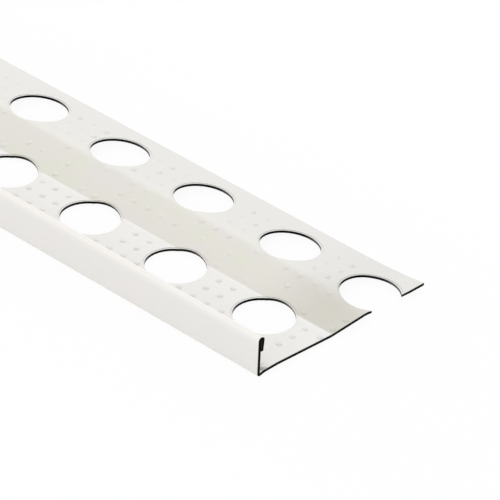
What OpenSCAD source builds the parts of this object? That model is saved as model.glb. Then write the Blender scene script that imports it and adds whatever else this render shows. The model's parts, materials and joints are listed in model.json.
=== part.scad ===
// Plaster stop bead: one strip of coated sheet steel, roll-formed in one piece.
// It lies as it would on a level floor, with its length along X, its leg on the -Y side
// and its perforated flange running to +Y. The sample's cut end is at +X.

/* [Strip] */
// Length of the bead, measured along the free edge of the flange
bead_len = 2400; // [300:10:3000]
// Thickness of the sheet with its coating
sheet_t = 0.6; // [0.4:0.05:0.8]
// Angle by which the cut at the +X end is out of square
cut_skew = 3.4; // [0:0.1:8]

/* [Leg] */
// Height of the leg above the foot, which is the depth of plaster it stops
leg_h = 10; // [8:0.5:20]
// Distance by which the top of the leg leans out beyond its foot
leg_lean = 0.45; // [0:0.05:1]
// Length of the hem that is folded inward at the top of the leg
hem_len = 3.6; // [2.5:0.1:4.5]
// Thickness of the hem at its fold
hem_w = 1.65; // [1.5:0.05:1.8]
// Thickness of the hem at its free end
hem_end_w = 1.5; // [1.35:0.05:1.5]

/* [Flange] */
// Distance from the foot of the leg to the free edge
flange_w = 50.4; // [46:0.1:60]
// Width of the steep part of the toe, next to the leg
toe_w = 1.9; // [1.6:0.1:2.4]
// Slope of the steep part of the toe
toe_slope = 17; // [10:1:30]
// Distance from the leg to the point where the near flat starts
flat_start = 5.8; // [4:0.1:7]
// Slope of the toe between its steep part and the near flat
easing_slope = 4; // [1:0.5:6]
// Distance from the leg to the sharp crease behind the near row of holes
crease_y = 22; // [20:0.2:24]
// Slope of the band that rises behind the crease
band_slope = 13; // [8:0.5:20]
// Distance from the leg to the soft ridge in front of the far row of holes
ridge_y = 33; // [30:0.2:34]
// Slope by which the flange falls away behind the ridge
far_slope = 7; // [0:0.5:8]

/* [Holes] */
// Diameter of the punched holes
hole_d = 13.7; // [8:0.1:15]
// Distance from hole to hole in each row
hole_pitch = 26; // [22:0.5:32]
// Distance from the leg to the near row of holes
near_row_y = 16.6; // [14:0.1:17]
// Distance from the leg to the far row of holes
far_row_y = 39.4; // [38:0.1:42]
// Distance from the cut end, at the leg, to the first hole of the near row
first_hole = 13.2; // [9:0.1:20]
// Distance by which the far row lags behind the near row
row_shift = 13; // [8:0.5:16]
// Distance by which the hole that the cut runs through was punched too near to the next one
short_step = 2.4; // [0:0.1:4]
// Distance by which that hole also sits nearer to the leg
side_step = 0.5; // [0:0.1:1]

/* [Hidden] */

// Bend radii at the middle of the sheet
hem_r = 0.47 * (hem_w - sheet_t);
foot_r = 0.35;
toe_r = 1.5;
crease_r = 1.2;
ridge_r = 9;
// Largest step of a rounded bend, in degrees
bend_step = 15;
// Number of sides that a punched hole is drawn with
hole_sides = 64;
// Length by which a cutting tool reaches past the sheet
clear = 20;

// Middle line of the sheet, from the hem's free end to the flange's free edge
mid = sheet_t / 2;
toe_z = mid + (toe_w - mid) * tan(toe_slope);
flat_z = toe_z + (flat_start - toe_w) * tan(easing_slope);
ridge_z = flat_z + (ridge_y - crease_y) * tan(band_slope);
edge_z = ridge_z - (flange_w - ridge_y) * tan(far_slope);
corners = [
    [hem_end_w - mid - leg_lean, leg_h - hem_len],
    [hem_w - mid - leg_lean, leg_h - mid],
    [mid - leg_lean, leg_h - mid],
    [mid, mid],
    [toe_w, toe_z],
    [flat_start, flat_z],
    [crease_y, flat_z],
    [ridge_y, ridge_z],
    [flange_w, edge_z]
];
radii = [0, hem_r, hem_r, foot_r, toe_r, toe_r, crease_r, ridge_r, 0];

function heading(a, b) = atan2(b.y - a.y, b.x - a.x);
function turn(h, k) = ((k - h + 540) % 360) - 180;
function along(h) = [cos(h), sin(h)];
function across(h) = [-sin(h), cos(h)];
// Stations [x, y, heading] of the bend of radius r at corner b, between the runs from a and to c
function bend(a, b, c, r) =
    let (h = heading(a, b), w = turn(h, heading(b, c)), side = sign(w))
    let (start = b - along(h) * r * tan(abs(w) / 2), centre = start + across(h) * r * side)
    let (steps = ceil(abs(w) / bend_step))
    [for (k = [0 : steps]) let (g = h + w * k / steps, p = centre - across(g) * r * side) [p.x, p.y, g]];
last = len(corners) - 1;
first_heading = heading(corners[0], corners[1]);
last_heading = heading(corners[last - 1], corners[last]);
stations = concat(
    [[corners[0].x, corners[0].y, first_heading]],
    [for (i = [1 : last - 1]) each bend(corners[i - 1], corners[i], corners[i + 1], radii[i])],
    [[corners[last].x, corners[last].y, last_heading]]
);
function face(side) = [for (s = stations) [s.x, s.y] + across(s.z) * mid * side];
function reversed(list) = [for (i = [len(list) - 1 : -1 : 0]) list[i]];
outline = concat(face(1), reversed(face(-1)));

// Turned until the foot and a second line of the flange meet the floor together
foot_points = [for (p = outline) if (p.x < toe_w && p.y < toe_z) p];
flange_points = [for (p = outline) if (p.x > flat_start) p];
rest_turn = max([for (q = foot_points) min([for (p = flange_points) heading(q, p)])]);
function turned(p) = [
    p.x * cos(rest_turn) + p.y * sin(rest_turn),
    p.y * cos(rest_turn) - p.x * sin(rest_turn)
];
resting = [for (p = outline) turned(p)];
low_y = min([for (p = resting) p.x]);
high_y = max([for (p = resting) p.x]);
low_z = min([for (p = resting) p.y]);
section = [for (p = resting) p - [(low_y + high_y) / 2, low_z]];

// Where the rows of holes lie once the bead is at rest
function row_y(y, z) = turned([y, z]).x - (low_y + high_y) / 2;
near_y = row_y(near_row_y, flat_z);
far_y = row_y(far_row_y, ridge_z - (far_row_y - ridge_y) * tan(far_slope));
span_y = high_y - low_y;
near_first = bead_len / 2 - span_y * tan(cut_skew) - first_hole;
far_first = near_first - row_shift + hole_pitch;

module strip() {
    translate([-bead_len / 2, 0, 0])
        rotate([90, 0, 90])
            linear_extrude(bead_len)
                polygon(section);
}

module hole_row(first_x, y, first_step) {
    count = ceil((first_x + bead_len / 2 + hole_d / 2) / hole_pitch);
    for (k = [0 : count - 1])
        translate([first_x - k * hole_pitch, y, -clear] - (k == 0 ? first_step : [0, 0, 0]))
            cylinder(h = leg_h + 2 * clear, d = hole_d, $fn = hole_sides);
}

module skew_cut() {
    translate([bead_len / 2, span_y / 2, -clear])
        rotate([0, 0, -cut_skew])
            translate([0, -2 * span_y, 0])
                cube([2 * clear, 3 * span_y, leg_h + 2 * clear]);
}

module stop_bead() {
    color([0.91, 0.91, 0.89])
        difference() {
            strip();
            hole_row(near_first, near_y, [0, 0, 0]);
            hole_row(far_first, far_y, [short_step, side_step, 0]);
            skew_cut();
        }
}

stop_bead();
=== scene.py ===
import bpy
import json
from math import radians, degrees, sin, cos, tan, atan2, pi, sqrt, dist
from random import Random
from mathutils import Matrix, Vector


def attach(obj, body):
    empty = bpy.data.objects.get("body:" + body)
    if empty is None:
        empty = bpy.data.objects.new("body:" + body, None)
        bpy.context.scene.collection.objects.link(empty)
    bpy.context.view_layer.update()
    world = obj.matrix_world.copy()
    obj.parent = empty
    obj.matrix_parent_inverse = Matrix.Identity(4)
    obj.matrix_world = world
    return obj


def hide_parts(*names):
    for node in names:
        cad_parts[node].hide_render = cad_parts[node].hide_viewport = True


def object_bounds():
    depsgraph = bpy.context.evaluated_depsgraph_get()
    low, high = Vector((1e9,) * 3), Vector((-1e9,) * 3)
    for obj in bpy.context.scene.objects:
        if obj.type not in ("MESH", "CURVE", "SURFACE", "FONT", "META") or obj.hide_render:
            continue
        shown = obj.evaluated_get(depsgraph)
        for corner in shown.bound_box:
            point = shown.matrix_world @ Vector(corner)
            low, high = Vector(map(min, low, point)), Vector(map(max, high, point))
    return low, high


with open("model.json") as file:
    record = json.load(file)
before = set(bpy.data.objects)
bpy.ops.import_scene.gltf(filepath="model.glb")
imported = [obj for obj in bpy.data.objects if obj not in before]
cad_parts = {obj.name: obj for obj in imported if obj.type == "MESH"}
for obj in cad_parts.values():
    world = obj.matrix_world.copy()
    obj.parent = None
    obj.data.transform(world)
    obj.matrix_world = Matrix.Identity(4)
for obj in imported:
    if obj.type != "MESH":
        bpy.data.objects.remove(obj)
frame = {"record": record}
cadBounds = [list(corner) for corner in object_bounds()]
mm = 0.001
print("frame loaded")


# materials

def addNode(tree, kind, **values):
    node = tree.nodes.new(kind)
    for name, value in values.items():
        setattr(node, name, value)
    return node


def feed(tree, socket, value):
    if isinstance(value, bpy.types.NodeSocket):
        tree.links.new(value, socket)
    else:
        socket.default_value = value


def mixColours(tree, factor, first, second):
    node = addNode(tree, "ShaderNodeMix", data_type="RGBA")
    for number, value in ((0, factor), (6, first), (7, second)):
        feed(tree, node.inputs[number], value)
    return node.outputs[2]


def calculate(tree, operation, first, second=0):
    node = addNode(tree, "ShaderNodeMath", operation=operation)
    feed(tree, node.inputs[0], first)
    feed(tree, node.inputs[1], second)
    return node.outputs[0]


def fade(tree, value, start, end):
    # 0 at start, 1 at end, smooth between
    node = addNode(tree, "ShaderNodeMapRange", interpolation_type="SMOOTHSTEP")
    tree.links.new(value, node.inputs["Value"])
    rising = end > start
    node.inputs["From Min"].default_value = start if rising else end
    node.inputs["From Max"].default_value = end if rising else start
    node.inputs["To Min"].default_value = 0 if rising else 1
    node.inputs["To Max"].default_value = 1 if rising else 0
    return node.outputs["Result"]


def fadeFrom(tree, value, origin, places):
    # the same, with its start and end in millimetres from the origin
    return fade(tree, value, origin + places[0] * mm, origin + places[1] * mm)


def mixShaders(tree, factor, first, second):
    mix = addNode(tree, "ShaderNodeMixShader")
    tree.links.new(factor, mix.inputs[0])
    tree.links.new(first.outputs[0], mix.inputs[1])
    tree.links.new(second.outputs[0], mix.inputs[2])
    return mix


def makeBlotchGroup():
    # cloudy patches and fine grain, as two masks around 0.5
    group = bpy.data.node_groups.new("blotches", "ShaderNodeTree")
    group.interface.new_socket("Place", in_out="INPUT", socket_type="NodeSocketVector")
    group.interface.new_socket("Patch Scale", in_out="INPUT", socket_type="NodeSocketFloat")
    group.interface.new_socket("Grain Scale", in_out="INPUT", socket_type="NodeSocketFloat")
    group.interface.new_socket("Patches", in_out="OUTPUT", socket_type="NodeSocketFloat")
    group.interface.new_socket("Grain", in_out="OUTPUT", socket_type="NodeSocketFloat")
    entry = addNode(group, "NodeGroupInput")
    leave = addNode(group, "NodeGroupOutput")
    for scaleName, outName, detail in (("Patch Scale", "Patches", 2.0), ("Grain Scale", "Grain", 4.0)):
        noise = addNode(group, "ShaderNodeTexNoise")
        noise.inputs["Detail"].default_value = detail
        group.links.new(entry.outputs["Place"], noise.inputs["Vector"])
        group.links.new(entry.outputs[scaleName], noise.inputs["Scale"])
        group.links.new(noise.outputs["Fac"], leave.inputs[outName])
    return group


def startMaterial(name, values):
    # a Principled material with the blotches group placed in it
    material = bpy.data.materials.new(name)
    material.use_nodes = True
    tree = material.node_tree
    shader = tree.nodes["Principled BSDF"]
    shader.inputs["Roughness"].default_value = values["roughness"]
    shader.inputs["Specular IOR Level"].default_value = values["specular"]
    place = addNode(tree, "ShaderNodeTexCoord")
    blotches = addNode(tree, "ShaderNodeGroup", node_tree=bpy.data.node_groups["blotches"])
    tree.links.new(place.outputs["Object"], blotches.inputs["Place"])
    blotches.inputs["Patch Scale"].default_value = values["patchScale"]
    blotches.inputs["Grain Scale"].default_value = values["grainScale"]
    return tree, shader, place, blotches


# a pair says where something starts and where it is full: in millimetres from the crease, the ridge, the
# foot, the floor or the far corner of the cut end, or as levels of the noise
coating = {
    "footInside": 0.24,                     # of the leg's top, once the bead lies on the floor
    "nearFlat": (0.838, 0.832, 0.798, 1),   # cream white
    "nearPink": (0.852, 0.828, 0.8, 1),     # faint pink clouds in it
    "band": (0.81, 0.803, 0.702, 1),        # painted shade: the band behind the crease, darker and yellower
    "bandPink": (0.818, 0.785, 0.748, 1),
    "bandEndShade": (0.655, 0.64, 0.56, 1),      # painted shade: the band and the far side darken towards the cut
    # painted shade: the far side, a little darker than the near flat
    "farSideShade": (0.803, 0.792, 0.757, 1),
    "farEndShade": (0.76, 0.748, 0.722, 1),
    "clouds": (0.36, 0.66), "paintedEndShade": (-27, -5),
    "creaseChange": (-0.1, 0.3), "ridgeChange": (-4, 4),
    "paintedHighlight": (0.96, 0.925, 0.89, 1),       # painted highlight on the hem's fold and just before the crease
    "highlightHem": (7.3, 9.3), "highlightPart": 0.45, "highlightFold": (9, 9.6),
    "creaseHighlight": (-1.4, 0), "creaseHighlightStop": (0.3, 0), "creasePart": 0.25,
    "toeShade": (0.32, 0.31, 0.29, 1),         # painted shade, grey in the toe's corner at the cut
    "toeShadeInside": (0.6, 0.8), "toeShadeAcross": (4.4, 1.5), "toeShadeUp": (4.2, 1), "toeShadeAlong": (-7, -4),
    "toeShadeGrain": (0.35, 0.6),
    "edgeShade": (0.01, 0.01, 0.009, 1),      # painted shade: dark steel colour beside the cuts and the holes
    "edgeShadeCut": 0.15, "edgeShadeHole": 0.14,
    "edgeShadeSoft": 0.2,                     # part of the width over which it fades out
    "edgeShadeBeyond": 0.6,                   # how much the rings lie away from the leg, not only from the cut
    "edgeShadeSide": (0.1, 0.9),              # parts of a hole's radius
    "patchScale": 110.0,                    # per metre
    "grainScale": 900.0,
    "roughness": 0.42,
    "specular": 0.5,
    "peel": 0.00002,                        # depth of the orange peel, metres
}


def edgeShadeStrip(tree, distance, edge, width):
    # 1 from the edge over the width, which is in millimetres
    soft = coating["edgeShadeSoft"]
    return fadeFrom(tree, distance, edge, (width * (1 + soft), width * (1 - soft)))


def edgeShadeRing(tree, aside, beyond):
    # painted shade: 1 on a strip along the side of a hole away from the cut and the leg, from the distances
    # to its centre
    offset = addNode(tree, "ShaderNodeCombineXYZ")
    tree.links.new(aside, offset.inputs["X"])
    tree.links.new(beyond, offset.inputs["Y"])
    away = addNode(tree, "ShaderNodeVectorMath", operation="LENGTH")
    tree.links.new(offset.outputs[0], away.inputs[0])
    radius = bead["holeSize"] / 2
    ring = edgeShadeStrip(tree, away.outputs["Value"], radius * mm, coating["edgeShadeHole"])
    side = calculate(tree, "SUBTRACT", calculate(tree, "MULTIPLY", beyond, coating["edgeShadeBeyond"]), aside)
    side = fadeFrom(tree, side, 0, [radius * part for part in coating["edgeShadeSide"]])
    return calculate(tree, "MULTIPLY", ring, side)


def shadedEdges(tree, along, across):
    # painted shade: 1 beside the slanting cut and the holes
    cut = calculate(tree, "MULTIPLY", across, skew)
    cut = calculate(tree, "ADD", cut, cadBounds[1][0] - cadBounds[1][1] * skew)
    edgeShade = edgeShadeStrip(tree, calculate(tree, "SUBTRACT", cut, along), 0, coating["edgeShadeCut"])

    # a row repeats from the middle of its first stated pattern, which lies between two holes
    pitch = bead["pitch"] * mm
    patterns = {mount["name"]: mount["pos_m"][:2] for mount in frame["record"]["mounts"]}
    rowEnds = {"near_row_fixings_1": cadBounds[1][0], "far_row_fixings_1": lastHole * mm - pitch / 2}
    for name, rowEnd in rowEnds.items():
        middle, row = patterns[name]
        aside = calculate(tree, "FLOORED_MODULO", calculate(tree, "SUBTRACT", along, middle), pitch)
        aside = calculate(tree, "SUBTRACT", aside, pitch / 2)
        ring = edgeShadeRing(tree, aside, calculate(tree, "SUBTRACT", across, row))
        ring = calculate(tree, "MULTIPLY", ring, calculate(tree, "LESS_THAN", along, rowEnd))
        edgeShade = calculate(tree, "MAXIMUM", edgeShade, ring)

    # the hole that the cut runs through
    aside = calculate(tree, "SUBTRACT", along, lastHole * mm)
    farRow = patterns["far_row_fixings_1"][1]
    beyond = calculate(tree, "SUBTRACT", across, farRow - bead["sideStep"] * mm)
    return calculate(tree, "MAXIMUM", edgeShade, edgeShadeRing(tree, aside, beyond))


def makeCoating():
    tree, shader, place, blotches = startMaterial("off white coating", coating)
    axes = addNode(tree, "ShaderNodeSeparateXYZ")
    tree.links.new(place.outputs["Object"], axes.inputs[0])
    along, across, height = axes.outputs
    end = cadBounds[1][0]
    foot = cadBounds[0][1] + coating["footInside"] * mm
    crease = foot + bead["creaseAt"] * mm
    ridge = foot + bead["ridgeAt"] * mm

    # three stripes of the one coating, the band and the far side in painted shade, with soft clouds in the
    # first two
    clouds = fade(tree, blotches.outputs["Patches"], *coating["clouds"])
    nearColour = mixColours(tree, clouds, coating["nearFlat"], coating["nearPink"])
    bandShadeColour = mixColours(tree, clouds, coating["band"], coating["bandPink"])
    # painted shade, darker towards the cut end
    paintedEndShade = fadeFrom(tree, along, end, coating["paintedEndShade"])
    bandShadeColour = mixColours(tree, paintedEndShade, bandShadeColour, coating["bandEndShade"])
    farShadeColour = mixColours(tree, paintedEndShade, coating["farSideShade"], coating["farEndShade"])
    pastCrease = fadeFrom(tree, across, crease, coating["creaseChange"])
    pastRidge = fadeFrom(tree, across, ridge, coating["ridgeChange"])
    colour = mixColours(tree, pastCrease, nearColour, bandShadeColour)
    colour = mixColours(tree, pastRidge, colour, farShadeColour)

    # painted highlight, lighter on the hem's fold and just before the crease
    hem = calculate(tree, "MULTIPLY", fadeFrom(tree, height, 0, coating["highlightHem"]), coating["highlightPart"])
    hem = calculate(tree, "MAXIMUM", hem, fadeFrom(tree, height, 0, coating["highlightFold"]))
    line = calculate(tree, "MULTIPLY", fadeFrom(tree, across, crease, coating["creaseHighlight"]),
                     fadeFrom(tree, across, crease, coating["creaseHighlightStop"]))
    line = calculate(tree, "MULTIPLY", line, coating["creasePart"])
    colour = mixColours(tree, calculate(tree, "MAXIMUM", hem, line), colour, coating["paintedHighlight"])

    # the painted shade lies inside the leg only
    toeShade = fade(tree, blotches.outputs["Grain"], *coating["toeShadeGrain"])
    for value, origin, name in ((across, foot, "toeShadeInside"), (across, foot, "toeShadeAcross"),
                                (height, 0, "toeShadeUp"), (along, end, "toeShadeAlong")):
        toeShade = calculate(tree, "MULTIPLY", toeShade, fadeFrom(tree, value, origin, coating[name]))
    colour = mixColours(tree, toeShade, colour, coating["toeShade"])
    # painted shade along the cut and on the holes' rims
    colour = mixColours(tree, shadedEdges(tree, along, across), colour, coating["edgeShade"])
    tree.links.new(colour, shader.inputs["Base Color"])
    bump = addNode(tree, "ShaderNodeBump")
    bump.inputs["Distance"].default_value = coating["peel"]
    tree.links.new(blotches.outputs["Grain"], bump.inputs["Height"])
    tree.links.new(bump.outputs["Normal"], shader.inputs["Normal"])


bareEdge = {
    "colour": (0.003, 0.003, 0.0025, 1),
    "streak": (0.01, 0.01, 0.008, 1), "streakGrain": (0.4, 0.75),
    # painted light: walls that face the leg and away from the cut are lighter grey, by their normals
    "wallLight": (0.11, 0.107, 0.1, 1), "wallLightAlong": (0.3, -0.3), "wallLightAcross": (-0.2, -0.6),
    "patchScale": 300.0, "grainScale": 1500.0,
    "roughness": 0.9, "specular": 0.03,
}


def makeBareEdge():
    # punched and cut edges, where the dark steel shows; the same material paints shade inside the hem's fold
    tree, shader, place, blotches = startMaterial("dark cut steel and painted shade", bareEdge)
    streaks = fade(tree, blotches.outputs["Grain"], *bareEdge["streakGrain"])
    colour = mixColours(tree, streaks, bareEdge["colour"], bareEdge["streak"])
    facing = addNode(tree, "ShaderNodeSeparateXYZ")
    tree.links.new(place.outputs["Normal"], facing.inputs[0])
    # painted light, lighter grey on walls that face the leg and away from the cut
    wallLight = calculate(tree, "MULTIPLY", fade(tree, facing.outputs["X"], *bareEdge["wallLightAlong"]),
                          fade(tree, facing.outputs["Y"], *bareEdge["wallLightAcross"]))
    colour = mixColours(tree, wallLight, colour, bareEdge["wallLight"])
    tree.links.new(colour, shader.inputs["Base Color"])


# stop bead, modelled in millimetres and shrunk to metres at the end

bead = {
    "length": 2400, "sheet": 0.6, "cutSkew": 3.4,
    "legHeight": 9.97, "legLean": 0.43,     # these and the free edge stay a hair inside the solid's box
    "hemLength": 3.6, "hemWidth": 1.65, "hemEndWidth": 1.5,
    "hemRound": 0.47,                       # its bends' radius, as a part of the way across the fold
    "flangeWidth": 50.35, "toeWidth": 1.9, "toeSlope": 17, "flatStart": 5.8, "easingSlope": 4,
    "creaseAt": 22, "creaseRadius": 1.2, "creaseFolds": 3, "bandSlope": 13,
    "ridgeAt": 33, "ridgeRadius": 9, "ridgeFolds": 4, "farSlope": 7,
    "footRadius": 0.35, "toeRadius": 1.5, "bendStep": 11,
    "holeSize": 13.7, "pitch": 26, "nearRow": 16.6, "farRow": 39.4, "holeSides": 36,
    "punchTurn": 3,                         # degrees, keeps the punches' corners off the sheet's grid
    # the punch pressed a thin step around each hole, with a riser of dark steel
    "rimWidth": 0.5, "rimDepth": 0.07, "rimRiser": 0.05,
    "firstHole": 13.2, "rowShift": 13,
    "shortStep": 2.4, "sideStep": 0.5,      # the hole that the cut runs through was punched out of line
    "pitchesRolled": 4,                     # length of the stretch that repeats
    "dotsAlong": 25, "dotRows": 10, "firstDotRow": 6.8, "dotsFrom": 8,
    "firstDot": 0.98,                       # from the first near hole to a column of dots
    "columnsBeyond": 5.5,                   # from there to the sheet's end, past the cut
    "dotRadius": 0.75, "dotShoulder": 0.42,
    # stripe the dots lie in, share of those left, height of the shoulder and of the top
    "dots": (("near", 0.5, 0.22, 0.3), ("near", 1, 0.16, 0.23), ("band", 0.3, 0.16, 0.21),
             ("band", 0.4, 0.08, 0.12), ("far", 0.5, 0.18, 0.24), ("far", 1, 0.12, 0.16)),
    "dotSeed": 5, "smoothAngle": 25,
    # faces that are this flat are merged, in degrees, but not so near to the two bends
    "flatAngle": 0.5, "creaseKept": 0.6, "ridgeKept": 1.8,
    # the cutter bent the end a little: degrees, and how far along the bead it fades out
    "tongueDip": 6.6, "tongueReach": 20, "cornerLift": 9.5, "cornerReach": 16,
    "tonguePastRidge": 2, "cornerFrom": 44.4,
    "edgeTaken": 0.1,                       # how near to the cut a point moves with it
}
touching = 0.001                            # millimetres that count as nothing
slack = 0.01                                # the same, across a bend or where stretches join
facing = 0.9                                # part of a normal that counts as facing that way
snap = 0.0001                               # millimetres within which a score runs through a point

halfSheet = bead["sheet"] / 2
toeHeight = halfSheet + (bead["toeWidth"] - halfSheet) * tan(radians(bead["toeSlope"]))
flatHeight = toeHeight + (bead["flatStart"] - bead["toeWidth"]) * tan(radians(bead["easingSlope"]))
width = (cadBounds[1][1] - cadBounds[0][1]) / mm

# along the bead from its middle: its end, the cut at the leg, each row's first hole and the one cut through
endX = bead["length"] / 2
skew = tan(radians(bead["cutSkew"]))
cutAtLeg = endX - width * skew
firstNear = cutAtLeg - bead["firstHole"]
firstFar = firstNear - bead["rowShift"]
lastHole = firstFar + bead["pitch"] - bead["shortStep"]


def cornerSaving(radius, angle):
    # how much shorter the sheet is along a round bend than along its sharp corner
    return radius * (2 * tan(radians(angle) / 2) - radians(angle))


# where the crease, the ridge, the far holes and the free edge lie on the sheet before it is folded
creaseSaving = cornerSaving(bead["creaseRadius"], bead["bandSlope"])
ridgeSaving = cornerSaving(bead["ridgeRadius"], bead["bandSlope"] + bead["farSlope"])
creaseOnFlat = bead["creaseAt"] - creaseSaving / 2
ridgeOnFlat = (bead["creaseAt"] - creaseSaving - ridgeSaving / 2
               + (bead["ridgeAt"] - bead["creaseAt"]) / cos(radians(bead["bandSlope"])))
farStart = ridgeOnFlat - ridgeSaving / 2
farRowOnFlat = farStart + (bead["farRow"] - bead["ridgeAt"]) / cos(radians(bead["farSlope"]))
edgeOnFlat = farStart + (bead["flangeWidth"] - bead["ridgeAt"]) / cos(radians(bead["farSlope"]))


def farHeight(across):
    # middle of the sheet beyond the ridge
    ridge = flatHeight + (bead["ridgeAt"] - bead["creaseAt"]) * tan(radians(bead["bandSlope"]))
    return ridge - (across - bead["ridgeAt"]) * tan(radians(bead["farSlope"]))


def stripeAt(across):
    # on the sheet before it is folded
    if across < creaseOnFlat:
        return "near"
    return "band" if across < ridgeOnFlat else "far"


def only(piece):
    # object mode with just this piece selected
    if bpy.context.mode != "OBJECT":
        bpy.ops.object.mode_set(mode="OBJECT")
    bpy.ops.object.select_all(action="DESELECT")
    piece.select_set(True)
    bpy.context.view_layer.objects.active = piece


def editFaces(piece, wanted):
    # edit mode with just the wanted faces selected
    only(piece)
    mesh = piece.data
    mesh.vertices.foreach_set("select", [False] * len(mesh.vertices))
    mesh.edges.foreach_set("select", [False] * len(mesh.edges))
    mesh.polygons.foreach_set("select", [bool(wanted(face)) for face in mesh.polygons])
    bpy.ops.object.mode_set(mode="EDIT")
    bpy.ops.mesh.select_mode(type="FACE")


def editPoints(piece, wanted):
    only(piece)
    bpy.ops.object.mode_set(mode="EDIT")
    bpy.ops.mesh.select_mode(type="VERT")
    bpy.ops.mesh.select_all(action="DESELECT")
    bpy.ops.object.mode_set(mode="OBJECT")
    piece.data.vertices.foreach_set("select", [bool(wanted(point.co)) for point in piece.data.vertices])
    bpy.ops.object.mode_set(mode="EDIT")


def giveSlot(piece, number):
    piece.active_material_index = number
    bpy.ops.object.material_slot_assign()
    bpy.ops.object.mode_set(mode="OBJECT")


def applyModifier(piece, kind, **values):
    only(piece)
    modifier = piece.modifiers.new(kind.lower(), kind)
    for name, value in values.items():
        setattr(modifier, name, value)
    bpy.ops.object.modifier_apply(modifier=modifier.name)


def repeatAlong(piece, count, step):
    applyModifier(piece, "ARRAY", count=count, use_relative_offset=False, use_constant_offset=True,
                  constant_offset_displace=(step, 0, 0), use_merge_vertices=True, merge_threshold=touching)


def countTriangles(piece):
    return sum(len(face.vertices) - 2 for face in piece.data.polygons)


def fold(piece, place, height, angle, beyond=1):
    # scores a line along the sheet and turns what lies beyond it
    editFaces(piece, lambda face: True)
    bpy.ops.mesh.bisect(plane_co=(0, place, 0), plane_no=(0, 1, 0), threshold=snap)
    editPoints(piece, lambda point: (point.y - place) * beyond > touching)
    bpy.ops.transform.rotate(value=-radians(angle), orient_axis="X", orient_type="GLOBAL",
                             center_override=(0, place, height))


def flatSheet(low, high, holes):
    # a stretch of flat sheet, from the toe to the free edge, with its embossed dots
    cell = (high - low) / bead["dotsAlong"]
    near = bead["firstDotRow"] - cell / 2
    far = near + cell * bead["dotRows"]
    top = flatHeight + halfSheet
    bpy.ops.object.select_all(action="DESELECT")
    bpy.ops.mesh.primitive_grid_add(x_subdivisions=bead["dotsAlong"], y_subdivisions=bead["dotRows"], size=1)
    piece = bpy.context.object
    piece.name = "bead stretch"
    piece.scale = (high - low, far - near, 1)
    piece.location = ((low + high) / 2, (near + far) / 2, top)
    bpy.ops.object.transform_apply(location=True, rotation=True, scale=True)
    editPoints(piece, lambda point: point.y > far - touching)
    bpy.ops.mesh.select_mode(type="EDGE")
    bpy.ops.mesh.extrude_region_move(TRANSFORM_OT_translate={"value": (0, edgeOnFlat - far, 0)})
    applyModifier(piece, "SOLIDIFY", thickness=bead["sheet"], offset=-1)

    # no dot in the toe, on a hole's rim or on the cut
    side = bead["dotRadius"]
    clear = bead["holeSize"] / 2 + bead["rimWidth"] + side
    editFaces(piece, lambda face: face.normal.z > facing and bead["dotsFrom"] < face.center.y < far
              and cutAtLeg + face.center.y * skew - face.center.x > side
              and all(dist(hole, face.center.xy) > clear for hole in holes))
    bpy.ops.mesh.inset(thickness=cell / 2 - side, use_individual=True)
    bpy.ops.mesh.bevel(offset=side * (2 - sqrt(2)), affect="VERTICES", segments=1)
    dice = Random(bead["dotSeed"])
    for stripe, share, shoulder, peak in bead["dots"]:
        editFaces(piece, lambda face: len(face.vertices) == 8 and face.normal.z > facing
                  and stripeAt(face.center.y) == stripe and dice.random() < share)
        bpy.ops.mesh.inset(thickness=side - bead["dotShoulder"], depth=shoulder, use_individual=True)
        bpy.ops.mesh.poke(offset=peak - shoulder)
    bpy.ops.object.mode_set(mode="OBJECT")
    return piece, near


def makePunch(x, y, count):
    # a row of stepped punches, which leave dark steel on the holes' walls and coating on the step
    top = flatHeight + halfSheet
    low = top - 3 * bead["sheet"]           # well through the sheet
    start = top - bead["rimDepth"]
    step = top - bead["rimRiser"]
    radius = bead["holeSize"] / 2
    bpy.ops.object.select_all(action="DESELECT")
    bpy.ops.mesh.primitive_cylinder_add(vertices=bead["holeSides"], radius=radius, depth=start - low,
                                        location=(x, y, (start + low) / 2),
                                        rotation=(0, 0, radians(bead["punchTurn"])))
    punch = bpy.context.object
    bpy.ops.object.transform_apply(location=True, rotation=True, scale=True)
    punch.data.materials.append(bpy.data.materials["dark cut steel and painted shade"])
    punch.data.materials.append(bpy.data.materials["off white coating"])
    editFaces(punch, lambda face: face.normal.z > facing)
    wider = (radius + bead["rimWidth"]) / radius
    bpy.ops.mesh.extrude_region_move(TRANSFORM_OT_translate={"value": (0, 0, step - start)})
    bpy.ops.transform.resize(value=(wider, wider, 1), center_override=(x, y, step))
    bpy.ops.mesh.extrude_region_move(TRANSFORM_OT_translate={"value": (0, 0, bead["sheet"])})
    editFaces(punch, lambda face: start < face.center.z < step)
    giveSlot(punch, 1)
    repeatAlong(punch, count, -bead["pitch"])
    return punch


def punchHoles(piece, rows):
    # one cut with all the punches together
    punches = [makePunch(x, y, count) for x, y, count in rows]
    only(punches[0])
    for punch in punches:
        punch.select_set(True)
    bpy.ops.object.join()
    applyModifier(piece, "BOOLEAN", operation="DIFFERENCE", object=punches[0], solver="EXACT",
                  material_mode="TRANSFER")
    bpy.data.objects.remove(punches[0])


def foldRound(piece, place, radius, angle, folds):
    # a bend of the given radius, as a few small folds
    arc = radius * radians(abs(angle))
    for number in reversed(range(folds)):
        fold(piece, place + arc * ((number + 0.5) / folds - 0.5), flatHeight, angle / folds)


def foldFlange(piece):
    ridgeAngle = -bead["bandSlope"] - bead["farSlope"]
    foldRound(piece, ridgeOnFlat, bead["ridgeRadius"], ridgeAngle, bead["ridgeFolds"])
    foldRound(piece, creaseOnFlat, bead["creaseRadius"], bead["bandSlope"], bead["creaseFolds"])
    fold(piece, bead["flatStart"], flatHeight, bead["easingSlope"], beyond=-1)


def heading(start, end):
    return atan2(end[1] - start[1], end[0] - start[0])


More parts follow.
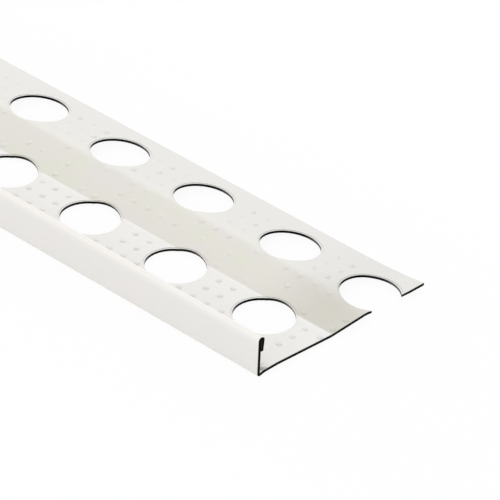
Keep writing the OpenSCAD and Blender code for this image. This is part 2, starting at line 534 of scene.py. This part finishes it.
def rollOn(place, path):
    # draws the selected end face of the sheet along the path, with a round bend at each corner
    for number, (corner, radius) in enumerate(path):
        ahead = heading(place, corner)
        turn = 0
        if number < len(path) - 1:
            turn = (heading(corner, path[number + 1][0]) - ahead + pi) % (2 * pi) - pi
        run = dist(place, corner) - radius * tan(abs(turn) / 2)
        move = (0, cos(ahead) * run, sin(ahead) * run)
        bpy.ops.mesh.extrude_region_move(TRANSFORM_OT_translate={"value": move})
        place = (place[0] + move[1], place[1] + move[2])
        if turn:
            side = 1 if turn > 0 else -1
            centre = (place[0] - sin(ahead) * radius * side, place[1] + cos(ahead) * radius * side)
            steps = int(abs(degrees(turn)) / bead["bendStep"]) + 1
            bpy.ops.mesh.spin(steps=steps, angle=-turn, center=(0, *centre), axis=(1, 0, 0))
            after = ahead + turn
            place = (centre[0] + sin(after) * radius * side, centre[1] - cos(after) * radius * side)


def rollToeAndLeg(piece, near):
    easing = radians(bead["easingSlope"])
    start = (bead["flatStart"] - (bead["flatStart"] - near) * cos(easing),
             flatHeight - (bead["flatStart"] - near) * sin(easing))
    legTop = bead["legHeight"] - halfSheet
    hemLow = bead["legHeight"] - bead["hemLength"]
    hemRadius = bead["hemRound"] * (bead["hemWidth"] - bead["sheet"])
    editFaces(piece, lambda face: face.normal.y < -facing and face.center.y < start[0] + slack)
    rollOn(start, [
        ((bead["toeWidth"], toeHeight), bead["toeRadius"]),
        ((halfSheet, halfSheet), bead["footRadius"]),
        ((halfSheet - bead["legLean"], legTop), hemRadius),
        ((bead["hemWidth"] - halfSheet - bead["legLean"], legTop), hemRadius),
        ((bead["hemEndWidth"] - halfSheet - bead["legLean"], hemLow), 0),
    ])
    # painted shade: the faces inside the hem's closed fold get the dark steel
    inside = bead["sheet"] - bead["legLean"]
    editFaces(piece, lambda face: face.center.z > hemLow and face.normal.y < -0.5
              and inside < face.center.y < bead["hemWidth"] - bead["sheet"])
    giveSlot(piece, 1)


def layDown(piece):
    # turns the section until the foot and the free edge touch the floor, and centres it over the box
    only(piece)
    points = [point.co for point in piece.data.vertices]
    foot = [point.yz for point in points if point.y < bead["toeWidth"] and point.z < toeHeight]
    far = [point.yz for point in points if point.y > bead["ridgeAt"]]
    turn = max(min(heading(start, end) for end in far) for start in foot)
    bpy.ops.object.mode_set(mode="EDIT")
    bpy.ops.mesh.select_all(action="SELECT")
    bpy.ops.transform.rotate(value=turn, orient_axis="X", orient_type="GLOBAL", center_override=(0, 0, 0))
    bpy.ops.object.mode_set(mode="OBJECT")
    across = [point.co.y for point in piece.data.vertices]
    shift = -(min(across) + max(across)) / 2
    drop = -min(point.co.z for point in piece.data.vertices)
    bpy.ops.object.mode_set(mode="EDIT")
    bpy.ops.transform.translate(value=(0, shift, drop))
    bpy.ops.object.mode_set(mode="OBJECT")
    print("turned by", round(degrees(turn), 3), "moved by", round(shift, 3), round(drop, 3))

    def resting(y, z):
        return (y * cos(turn) + z * sin(turn) + shift, z * cos(turn) - y * sin(turn) + drop)
    return resting


def mergeFlats(piece, low, high, resting):
    # merges flat neighbours, but keeps the two bends, and every point of the ends where stretches join
    crease = resting(bead["creaseAt"], flatHeight)[0]
    ridge = resting(bead["ridgeAt"], farHeight(bead["ridgeAt"]))[0]
    editPoints(piece, lambda point: low + slack < point.x < high - slack
               and abs(point.y - crease) > bead["creaseKept"] and abs(point.y - ridge) > bead["ridgeKept"])
    bpy.ops.mesh.dissolve_limited(angle_limit=radians(bead["flatAngle"]))
    bpy.ops.object.mode_set(mode="OBJECT")


def rollStretch(low, high, rows, merged=False):
    # flat sheet, dots, holes, folds, toe and leg, laid down as it rests, with both ends open
    holes = [(x - number * bead["pitch"], y) for x, y, count in rows for number in range(count)]
    piece, near = flatSheet(low, high, holes)
    piece.data.materials.append(bpy.data.materials["off white coating"])
    piece.data.materials.append(bpy.data.materials["dark cut steel and painted shade"])
    punchHoles(piece, rows)
    foldFlange(piece)
    rollToeAndLeg(piece, near)
    resting = layDown(piece)
    editFaces(piece, lambda face: abs(face.normal.x) > facing
              and min(abs(face.center.x - low), abs(face.center.x - high)) < touching)
    bpy.ops.mesh.delete(type="FACE")
    bpy.ops.object.mode_set(mode="OBJECT")
    if merged:
        mergeFlats(piece, low, high, resting)
    print("rolled a stretch,", countTriangles(piece), "triangles")
    return piece, resting


def cutAcross(piece, place, direction):
    # what lies beyond the plane goes, and the end is closed with bare steel
    editFaces(piece, lambda face: True)
    bpy.ops.mesh.bisect(plane_co=place, plane_no=direction, use_fill=True, clear_outer=True, threshold=snap)
    giveSlot(piece, 1)


def bendEnd(piece, pivot, upTo, angle, reach, falloff):
    # turns the cut edge from the pivot up to a place across, and less and less of the sheet behind it
    editPoints(piece, lambda point: point.y < pivot[0] - slack)
    bpy.ops.mesh.hide(unselected=False)
    bpy.ops.object.mode_set(mode="OBJECT")
    for point in piece.data.vertices:
        onCut = abs(point.co.x - endX + (width / 2 - point.co.y) * skew) < bead["edgeTaken"]
        point.select = not point.hide and onCut and point.co.y < upTo
    bpy.ops.object.mode_set(mode="EDIT")
    bpy.ops.transform.rotate(value=-radians(angle), orient_axis="X", orient_type="GLOBAL",
                             center_override=(0, *pivot), use_proportional_edit=True,
                             use_proportional_connected=True, proportional_edit_falloff=falloff,
                             proportional_size=reach)
    bpy.ops.mesh.reveal(select=False)
    bpy.ops.object.mode_set(mode="OBJECT")


def bendTip(piece, resting):
    # the cutter pushed the tongue down and turned the far corner up
    crease = resting(bead["creaseAt"], flatHeight)
    tongueEnd = resting(bead["ridgeAt"] + bead["tonguePastRidge"], 0)[0]
    bendEnd(piece, crease, tongueEnd, -bead["tongueDip"], bead["tongueReach"], "SMOOTH")
    corner = resting(bead["cornerFrom"], farHeight(bead["cornerFrom"]))
    bendEnd(piece, corner, width, bead["cornerLift"], bead["cornerReach"], "SHARP")


def makeBead():
    pitches = bead["pitchesRolled"]
    stretch = bead["pitch"] * pitches
    cell = stretch / bead["dotsAlong"]
    high = firstNear + bead["firstDot"] + cell * bead["columnsBeyond"]
    low = high - stretch

    # the stretch at the cut end, with the hole that the cut runs through
    rows = [(firstNear, bead["nearRow"], pitches), (firstFar, farRowOnFlat, pitches - 1),
            (lastHole, farRowOnFlat - bead["sideStep"], 1)]
    tip, resting = rollStretch(low, high, rows)
    # the stretch that repeats: a near hole lies across each of its ends
    back = bead["pitch"] * (pitches - 1)
    rows = [(firstNear - back, bead["nearRow"], pitches + 1), (firstFar - back, farRowOnFlat, pitches)]
    piece, resting = rollStretch(low - stretch, low, rows, merged=True)
    repeatAlong(piece, int((low + endX) / stretch) + 1, -stretch)
    only(piece)
    tip.select_set(True)
    bpy.ops.object.join()
    bpy.ops.object.mode_set(mode="EDIT")
    bpy.ops.mesh.select_all(action="SELECT")
    bpy.ops.mesh.remove_doubles(threshold=touching)
    slant = radians(bead["cutSkew"])
    cutAcross(piece, (-endX, 0, 0), (-1, 0, 0))
    cutAcross(piece, (endX, width / 2, 0), (cos(slant), -sin(slant), 0))
    bendTip(piece, resting)
    piece.name = "coated_stop_bead"
    piece.data.name = piece.name
    only(piece)
    piece.scale = (mm, mm, mm)
    bpy.ops.object.transform_apply(location=True, rotation=True, scale=True)
    bpy.ops.object.shade_smooth_by_angle(angle=radians(bead["smoothAngle"]))
    applyModifier(piece, "WEIGHTED_NORMAL", mode="FACE_AREA", keep_sharp=True)
    print("stop bead made,", countTriangles(piece), "triangles")
    return piece


# floor, light and camera

studio = {
    "floorSize": 60.0,
    "floorColour": (0.9, 0.9, 0.9, 1),
    "shadowSeen": 0.08,                     # how much of the floor's shading the camera sees
    "whiteFrom": 0.03, "whiteBy": 0.09,     # metres aside of the bead to where the floor is plain white
    "skyColour": (0.79, 0.79, 0.79, 1),     # of the light, where the camera sees white
    # sunlight from behind the bead as the camera sees it, and a lower one on the leg, in degrees: tilt 0 is
    # straight down and turn 0 shines along +Y
    "key": {"strength": 0.46, "softness": 25, "tilt": 57, "turn": -140},
    "fill": {"strength": 0.7, "softness": 60, "tilt": 76, "turn": -15},
}


def seenDirectly(tree):
    # 1 for what the camera sees, also in a reflection or through glass
    rays = addNode(tree, "ShaderNodeLightPath").outputs
    mirrored = calculate(tree, "MAXIMUM", rays["Is Glossy Ray"], rays["Is Transmission Ray"])
    return calculate(tree, "MAXIMUM", rays["Is Camera Ray"], mirrored)


def makeFloor():
    bpy.ops.object.select_all(action="DESELECT")
    bpy.ops.mesh.primitive_plane_add(size=studio["floorSize"])
    floor = bpy.context.object
    floor.name = "floor"
    material = bpy.data.materials.new("pale floor")
    material.use_nodes = True
    tree = material.node_tree
    tree.nodes.clear()

    # what the camera sees is mostly plain white, with some of the bead's shadow, and only white far away
    axes = addNode(tree, "ShaderNodeSeparateXYZ")
    tree.links.new(addNode(tree, "ShaderNodeTexCoord").outputs["Object"], axes.inputs[0])
    aside = calculate(tree, "ABSOLUTE", axes.outputs["Y"])
    away = fade(tree, aside, studio["whiteFrom"], studio["whiteBy"])
    plain = calculate(tree, "MULTIPLY", away, studio["shadowSeen"])
    plain = calculate(tree, "ADD", plain, 1 - studio["shadowSeen"])
    shaded = addNode(tree, "ShaderNodeBsdfDiffuse")
    shaded.inputs["Color"].default_value = (1, 1, 1, 1)
    white = addNode(tree, "ShaderNodeEmission")
    shown = mixShaders(tree, plain, shaded, white)

    # everything else is lit by an ordinary pale floor
    pale = addNode(tree, "ShaderNodeBsdfDiffuse")
    pale.inputs["Color"].default_value = studio["floorColour"]
    final = mixShaders(tree, seenDirectly(tree), pale, shown)
    output = addNode(tree, "ShaderNodeOutputMaterial")
    tree.links.new(final.outputs[0], output.inputs["Surface"])
    floor.data.materials.append(material)


def addSun(name):
    bpy.ops.object.select_all(action="DESELECT")
    bpy.ops.object.light_add(type="SUN", location=(0, 0, 2))
    sun = bpy.context.object
    sun.name = name + " light"
    sun.data.energy = studio[name]["strength"]
    sun.data.angle = radians(studio[name]["softness"])
    sun.rotation_euler = (radians(studio[name]["tilt"]), 0, radians(studio[name]["turn"]))


def makeLight():
    world = bpy.data.worlds.new("studio")
    bpy.context.scene.world = world
    world.use_nodes = True
    tree = world.node_tree
    tree.nodes.clear()
    sky = addNode(tree, "ShaderNodeBackground")
    sky.inputs["Color"].default_value = studio["skyColour"]
    white = addNode(tree, "ShaderNodeBackground")
    white.inputs["Color"].default_value = (1, 1, 1, 1)
    mix = mixShaders(tree, seenDirectly(tree), sky, white)
    output = addNode(tree, "ShaderNodeOutputWorld")
    tree.links.new(mix.outputs[0], output.inputs["Surface"])
    addSun("key")
    addSun("fill")


shot = {
    "place": (1.575776, -0.476668, 0.425908),   # metres, in the bead's frame
    "turn": (56.172, -3.026, 42.332),           # degrees
    "lens": 250.98, "sensor": 36,               # millimetres
    "clip": (0.01, 100),                        # metres
}


def makeCamera():
    bpy.ops.object.select_all(action="DESELECT")
    bpy.ops.object.camera_add(location=shot["place"], rotation=[radians(angle) for angle in shot["turn"]])
    camera = bpy.context.object
    camera.data.lens = shot["lens"]
    camera.data.sensor_width = shot["sensor"]
    camera.data.clip_start, camera.data.clip_end = shot["clip"]
    bpy.context.scene.camera = camera


makeBlotchGroup()
makeCoating()
makeBareEdge()
print("coating and cut steel made")
stopBead = makeBead()
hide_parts("stop_bead")
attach(stopBead, "root")
makeFloor()
makeLight()
makeCamera()
bpy.context.scene.view_settings.view_transform = "Standard"
print("floor, light and camera set")
